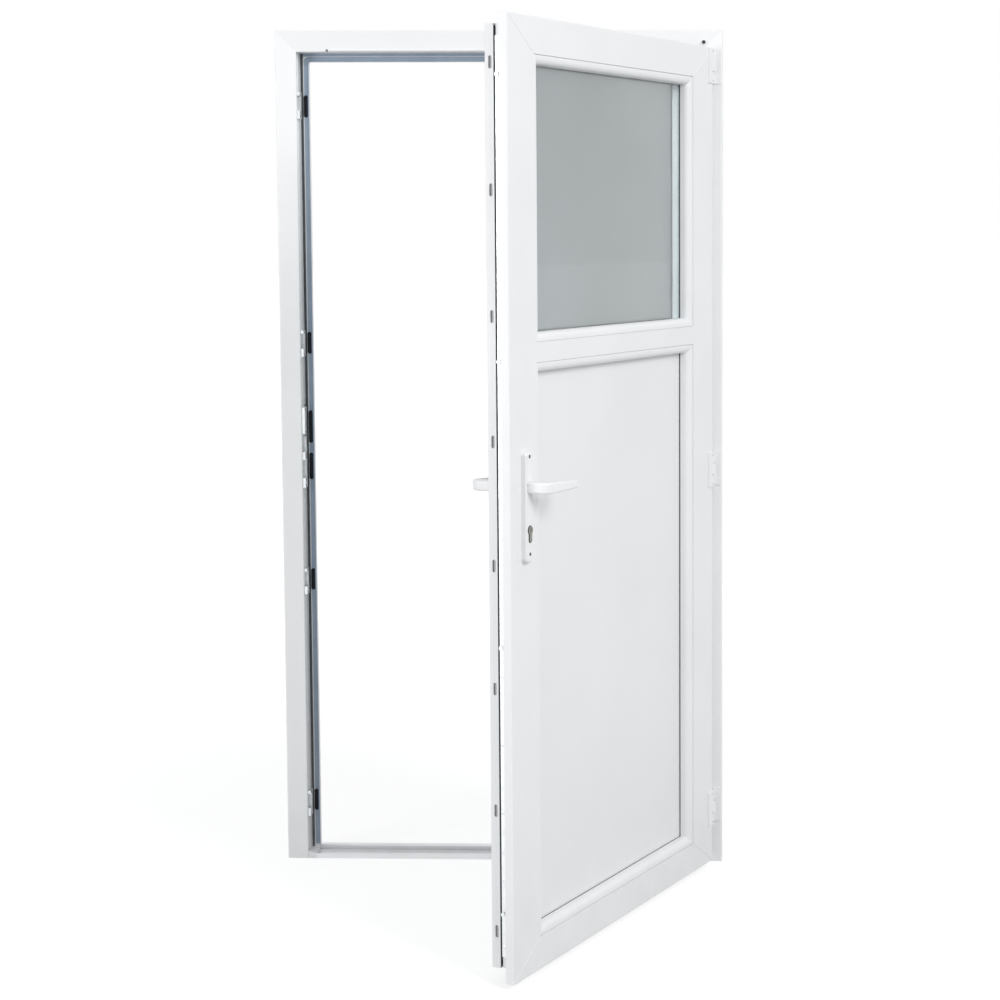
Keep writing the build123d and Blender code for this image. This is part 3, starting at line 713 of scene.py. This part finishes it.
# %% Strip tree
strip_tree, given, result = geometry_tree("strip_along_path", [
    ("Width", "NodeSocketFloat", 0.004),
    ("Thickness", "NodeSocketFloat", 0.002),
    ("Corner Radius", "NodeSocketFloat", 0.004),
    ("Tilt", "NodeSocketFloat", 0.0),
    ("Finish", "NodeSocketMaterial", None),
])
as_curve = strip_tree.nodes.new("GeometryNodeMeshToCurve")
soften = strip_tree.nodes.new("GeometryNodeFilletCurve")
lean = strip_tree.nodes.new("GeometryNodeSetCurveTilt")
section = strip_tree.nodes.new("GeometryNodeCurvePrimitiveQuadrilateral")
section_round = strip_tree.nodes.new("GeometryNodeFilletCurve")
carry = strip_tree.nodes.new("GeometryNodeCurveToMesh")
for node in (soften, section_round):
    node.mode = "POLY"
    node.inputs["Count"].default_value = 4
carry.inputs["Fill Caps"].default_value = True
links = strip_tree.links
links.new(given.outputs["Geometry"], as_curve.inputs["Mesh"])
links.new(as_curve.outputs[0], soften.inputs["Curve"])
links.new(given.outputs["Corner Radius"], soften.inputs["Radius"])
links.new(soften.outputs[0], lean.inputs["Curve"])
links.new(given.outputs["Tilt"], lean.inputs["Tilt"])
links.new(given.outputs["Width"], section.inputs["Width"])
links.new(given.outputs["Thickness"], section.inputs["Height"])
thin = calculated(strip_tree, "MINIMUM", given.outputs["Width"], given.outputs["Thickness"])
links.new(section.outputs[0], section_round.inputs["Curve"])
links.new(calculated(strip_tree, "MULTIPLY", thin, 0.45), section_round.inputs["Radius"])
links.new(lean.outputs[0], carry.inputs["Curve"])
links.new(section_round.outputs[0], carry.inputs["Profile Curve"])
close_tree(strip_tree, given, result, carry.outputs[0])


def path_mesh(name, paths, closed=False):
    """Lines through points, one or several in one mesh."""
    points = []
    edges = []
    for path in paths:
        first = len(points)
        points += path
        edges += [(first + i, first + i + 1) for i in range(len(path) - 1)]
        if closed:
            edges.append((len(points) - 1, first))
    mesh = bpy.data.meshes.new(name)
    mesh.from_pydata(points, edges, [])
    return mesh


def strips(name, paths, width, thickness, material, body, corner=0.004, tilt=0.0,
           closed=False):
    """Strips with one section along one or several paths."""
    values = {"Width": width, "Thickness": thickness, "Corner Radius": corner, "Tilt": tilt,
              "Finish": material}
    return grown(name, path_mesh(name, paths, closed), strip_tree, values, body)


print("tree", strip_tree.name)

# %% [markdown]
# ## Seals of the outer frame
# A thin grey-blue sheet lies on the stop as painted shade on the stop's face, and a hollow
# bulb seal at its inner edge meets the shut leaf. Both follow the jambs and the head in one
# piece with rounded corners, which is how a pushed-in seal bends. The bulb is a separate
# strip, so that its highlight runs on unbroken.

# %% Painted shade sheet and bulb seal on the stop
jamb_low, jamb_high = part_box("jamb_gasket")
shade_sheet_width, shade_sheet_thick = 0.0105, 0.0006
bulb_width, bulb_thick = 0.0034, 0.0030
bulb_inset = 0.0045
stop_bend = 0.006
stop_plane = jamb_high.y
stop_inner = jamb_high.x - 0.0135
stop_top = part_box("head_gasket")[0].z - 0.0065
stop_foot = jamb_low.z + 0.006


def around_stop(x, y, z):
    """Path up one jamb, along the head and down the other jamb."""
    return [Vector((-x, y, stop_foot)), Vector((-x, y, z)), Vector((x, y, z)), Vector((x, y, stop_foot))]


shade_sheet_line = around_stop(stop_inner, stop_plane - 0.0002, stop_top)
bulb_line = around_stop(stop_inner - bulb_inset, stop_plane - 0.0006, stop_top - bulb_inset)
# The thin grey-blue sheet on the stop is painted shade; the bulb is the seal.
strips("stop_facing", [shade_sheet_line], shade_sheet_width, shade_sheet_thick, grey_blue_seal_and_shade, "frame",
       corner=stop_bend)
strips("stop_bulb", [bulb_line], bulb_width, bulb_thick, grey_blue_seal_and_shade, "frame",
       corner=stop_bend)

# %% [markdown]
# ## Weld seams
# Plastic frames are welded at their corners, and the knife that cleans the weld leaves a
# shallow line across each mitre. A thin strip, half sunk in the face, gives that line; its
# white is a touch lighter than the profile's, a painted highlight along the line. On the
# leaf it runs from the outer corner to the opening's corner, on both faces.

# %% Weld seams
glass_lock = leaf_extent("glass_bead_lock")
glass_hinge = leaf_extent("glass_bead_hinge")
panel_lock = leaf_extent("panel_bead_lock")
corners = ((leaf_high, glass_lock[1].z, -1), (leaf_low, panel_lock[0].z, 1))
ends = ((0, glass_lock[0].x, 1), (leaf_wide, glass_hinge[1].x, -1))
seam_width, seam_thick = 0.0011, 0.0005
seam_margin = 0.004
lip_width = 0.020
leaf_seams = []
for n, inset in ((0.0, 0.0), (leaf_thick, lip_width)):
    margin = inset + seam_margin
    for outer, opening, climb in corners:
        for edge, side, way in ends:
            start = on_leaf(edge + way * margin, n, outer + climb * margin)
            leaf_seams.append([start, on_leaf(side + way * inset, n, opening + climb * inset)])
strips("leaf_weld_seams", leaf_seams, seam_width, seam_thick, seam_highlight_white, "leaf",
       corner=0.0)
head_low, head_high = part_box("head")
seam_end = 0.046
frame_seams = []
for side in (-1, 1):
    frame_seams.append([
        Vector((side * (head_high.x - inward), head_low.y, head_high.z - inward))
        for inward in (seam_margin, seam_end)
    ])
strips("frame_weld_seams", frame_seams, seam_width, seam_thick, seam_highlight_white, "frame",
       corner=0.0)

# %% [markdown]
# ## Small parts on the head
# The head carries a slim cover strip along its lower edge with a dark screw at its end,
# and at the hinge end a round white boss with a dark socket. The boss could be cut from a
# cylinder, but it is turned from a half section, like a part on a lathe, so its rounded
# rim and its recess come in one go.

# %% Turned pieces


def turned(name, profile, spot, way, material, body, sides=32):
    """A piece turned about an axis. The profile is a list of radius and height."""
    bm = bmesh.new()
    rotation = way.to_track_quat("Z", "Y")
    rings = []
    for radius, height in profile:
        if radius == 0:
            rings.append([bm.verts.new(spot + rotation @ Vector((0, 0, height)))])
            continue
        circle = []
        for i in range(sides):
            a = 2 * pi * i / sides
            offset = rotation @ Vector((radius * cos(a), radius * sin(a), height))
            circle.append(bm.verts.new(spot + offset))
        rings.append(circle)
    for lower, upper in zip(rings, rings[1:]):
        for i in range(sides):
            j = (i + 1) % sides
            if len(lower) == 1:
                bm.faces.new((lower[0], upper[j], upper[i]))
            elif len(upper) == 1:
                bm.faces.new((lower[i], lower[j], upper[0]))
            else:
                bm.faces.new((lower[i], lower[j], upper[j], upper[i]))
    bmesh.ops.recalc_face_normals(bm, faces=bm.faces)
    mesh = bpy.data.meshes.new(name)
    bm.to_mesh(mesh)
    bm.free()
    mesh.materials.append(material)
    shade_by_angle(mesh)
    piece = bpy.data.objects.new(name, mesh)
    scene.collection.objects.link(piece)
    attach(piece, body)
    print(name, "faces:", len(mesh.polygons))
    return piece


# %% Cover strip, screw and boss
outward = Vector((0, -1, 0))
face_y = head_low.y
cover_start, cover_end = -0.397, 0.30
cover_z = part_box("head_gasket")[1].z + 0.0045
cover_line = [Vector((cover_start, face_y, cover_z)), Vector((cover_end, face_y, cover_z))]
strips("head_cover_strip", [cover_line], 0.0062, 0.0024, seam_highlight_white, "frame", corner=0.0)
screw_at = Vector((cover_start - 0.0055, face_y, cover_z))
screws("head_screw", [(screw_at, outward)], 0.003, 2, dark_steel, "frame")
boss_at = Vector((0.481, face_y, 1.951))
turned("hinge_adjuster_boss", [(0, -0.0005), (0.0068, -0.0005), (0.0068, 0.0022), (0.0060, 0.003),
                               (0.0046, 0.003), (0.0043, 0.0004), (0, 0.0003)],
       boss_at, outward, white_metal, "frame")
turned("hinge_adjuster_socket", [(0, 0.0004), (0.0042, 0.0004), (0.0042, 0.0016), (0.0018, 0.0012),
                                 (0, 0.0011)],
       boss_at, outward, dark_steel, "frame")

# %% [markdown]
# ## Fixings of the lock side
# The full-height lock strip is screwed into the stile every hand's width or two, and
# each keep on the jamb has a screw at both ends. Their heights could be typed in one by one,
# but they are read from the solid pieces: evenly along the strip, with a gap round rollers
# and bolts, and a fixed distance in from the ends of each keep.

# %% Lock strip and keep screws
strip_low, strip_high = leaf_extent("lock_strip")
strip_middle = (strip_low.y + strip_high.y) / 2
roller_heights = [(low + high) / 2 for low, high in height_groups("locking_rollers", 0.003)]
bolt_heights = [sum(leaf_extent(name)[i].z for i in (0, 1)) / 2 for name in ("latch_bolt", "dead_bolt")]
strip_screws = []
rows = 14
strip_end = 0.02
hardware_gap = 0.03
for i in range(rows):
    z = strip_low.z + strip_end + (strip_high.z - strip_low.z - 2 * strip_end) * i / (rows - 1)
    if all(abs(z - h) > hardware_gap for h in roller_heights + bolt_heights):
        strip_screws.append((on_leaf(strip_low.x, strip_middle, z), -along))
screws("lock_strip_screws", strip_screws, 0.0034, 3, zinc, "leaf")

keep_screws = []
keep_end = 0.0045
for name in ("roller_keeps", "lock_keep"):
    low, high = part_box(name)
    for bottom, top in height_groups(name, 0.04):
        for z in (bottom + keep_end, top - keep_end):
            keep_screws.append((Vector((high.x, low.y + 0.010, z)), Vector((1, 0, 0))))
screws("keep_screws", keep_screws, 0.0028, 5, dark_steel, "frame")

# %% [markdown]
# Behind the strip the stile has an open channel. A thin black strip lies in it from end
# to end and paints the shade of the channel. It is a straight strip, tilted so that its
# broad side lies square to the open leaf.

# %% Painted shade in the open channel
channel_u = 0.0222
channel_n = strip_high.y + 0.002
channel_past = 0.020
channel_line = [on_leaf(channel_u, channel_n, strip_low.z - channel_past),
                on_leaf(channel_u, channel_n, strip_high.z + channel_past)]
strips("channel_seal", [channel_line], 0.0037, 0.0016, black_plastic_and_shade, "leaf", corner=0.0,
       tilt=opened)

# %% [markdown]
# The long holes beside the strip carry a grey plastic liner. A painted ring would
# stay flat, so the liner has a rim that stands on the stile, a wall inside the hole and a
# floor. The screw tree copies it onto each hole, all upright, at the heights found in the
# stile's own mesh.

# %% Slot liners


def slot_liner(name, length, width, rim, height, sunk):
    """Rounded liner of a long hole: a thin rim outside and a floor inside."""
    bm = bmesh.new()

    def outline(grow, z):
        """A rounded-end loop that stands out past the hole by the given distance."""
        radius = width / 2 + grow
        straight = length / 2 - width / 2
        points = []
        for centre, start in ((straight, 0), (-straight, pi)):
            for i in range(9):
                a = start + pi * i / 8
                points.append(bm.verts.new((radius * cos(a), centre + radius * sin(a), z)))
        return points

    rings = [outline(0.0001, -sunk - 0.0005), outline(0.0001, -0.0001), outline(rim, -0.0001),
             outline(rim, height * 0.5), outline(rim * 0.6, height), outline(-0.0004, height),
             outline(-0.0005, -sunk)]
    for lower, upper in zip(rings, rings[1:]):
        for i in range(len(lower)):
            j = (i + 1) % len(lower)
            bm.faces.new((lower[i], lower[j], upper[j], upper[i]))
    bm.faces.new(rings[0])
    bm.faces.new(rings[-1])
    bmesh.ops.recalc_face_normals(bm, faces=bm.faces)
    mesh = bpy.data.meshes.new(name)
    bm.to_mesh(mesh)
    bm.free()
    return bpy.data.objects.new(name, mesh)


slot_face = 0.020
slot_n = 0.050
slot_deep = 0.005
slot_upright = opened - pi / 2


def in_slot(point):
    """Whether a corner of the stile belongs to the floor of a long hole."""
    place = turned_back(point) - leaf_start
    return abs(place.y - slot_n) < 0.0035 and abs(place.x - slot_face - slot_deep) < 0.0005


slots = height_groups("lock_stile", 0.05, in_slot)
liner = slot_liner("slot_liner", 0.024, 0.0056, 0.0009, 0.0004, 0.0022)
liner_places = [(on_leaf(slot_face, slot_n, (low + high) / 2), -along) for low, high in slots]
values = {"Head": liner, "Radius": 1.0, "Turn From": slot_upright, "Turn To": slot_upright,
          "Finish": slot_grey}
grown("slot_liners", marked_points("slot_liners", liner_places), screw_tree, values, "leaf")
print("long holes:", len(slots), "rollers:", len(roller_heights))

# %% [markdown]
# Two screws hold each handle plate, one near the top and one below the key cylinder. Both
# plates are measured first, and the screws are set on whichever face looks outwards.

# %% Handle plate screws
below_top, above_foot = 0.009, 0.016
plate_screws = []
for name, side in (("near_handle_plate", -1), ("far_handle_plate", 1)):
    low, high = leaf_extent(name)
    n = low.y if side < 0 else high.y
    for z in (low.z + above_foot, high.z - below_top):
        plate_screws.append((on_leaf((low.x + high.x) / 2, n, z), through * side))
screws("handle_plate_screws", plate_screws, 0.0036, 7, dark_steel, "leaf")

# %% [markdown]
# ## Around the key cylinder
# The plate's hole is a little larger than the cylinder, and the gap round the key lies in
# shade. A thin black ring on the plate paints that shade. It follows the cylinder's own
# outline, a circle over a narrow rounded tail.

# %% Painted shade in the cylinder gap
key_low, key_high = leaf_extent("lock_cylinder")
key_centre = (key_low.x + key_high.x) / 2
key_radius = (key_high.x - key_low.x) / 2
key_z = key_high.z - key_radius
tail_half = 0.005
gap_half = 0.0006
key_paths = []
for n in (leaf_extent("near_handle_plate")[0].y, leaf_extent("far_handle_plate")[1].y):
    outline = []
    reach = key_radius + gap_half
    half = tail_half + gap_half
    neck = asin(half / reach)
    for i in range(25):
        a = -pi / 2 + neck + (2 * pi - 2 * neck) * i / 24
        outline.append(on_leaf(key_centre + reach * cos(a), n, key_z + reach * sin(a)))
    foot_z = key_low.z + tail_half
    for i in range(9):
        a = pi + pi * i / 8
        outline.append(on_leaf(key_centre + half * cos(a), n, foot_z + half * sin(a)))
    key_paths.append(outline)
strips("cylinder_gap", key_paths, 0.0016, 0.0010, black_plastic_and_shade, "leaf", corner=0.0,
       closed=True)

# %% [markdown]
# ## Hinge fixings
# Each hinge arm has three coated screws and three dark grub screws that adjust it, and each
# base on the frame has two screws. They are placed from the ends of the plates, so they
# follow if a hinge is moved.

# %% Hinge screws
base_thick = 0.0025
arm_screws = []
grub_screws = []
base_screws = []
for level in ("upper", "middle", "lower"):
    low, high = leaf_extent(f"{level}_hinge_arm")
    u = low.x + 0.008
    for z in (low.z + 0.012, (low.z + high.z) / 2, high.z - 0.012):
        arm_screws.append((on_leaf(u, low.y, z), -through))
    for z in (low.z + 0.006, low.z + 0.028, high.z - 0.006):
        grub_screws.append((on_leaf(leaf_wide - 0.0035, low.y, z), -through))
    low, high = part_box(f"{level}_hinge_base")
    for z in (low.z + 0.014, high.z - 0.014):
        base_screws.append((Vector((high.x - 0.0075, face_y - base_thick, z)), outward))
screws("hinge_arm_screws", arm_screws, 0.0030, 9, white_metal, "leaf")
screws("hinge_grub_screws", grub_screws, 0.0015, 10, dark_steel, "leaf")
screws("hinge_base_screws", base_screws, 0.0030, 11, white_metal, "frame")
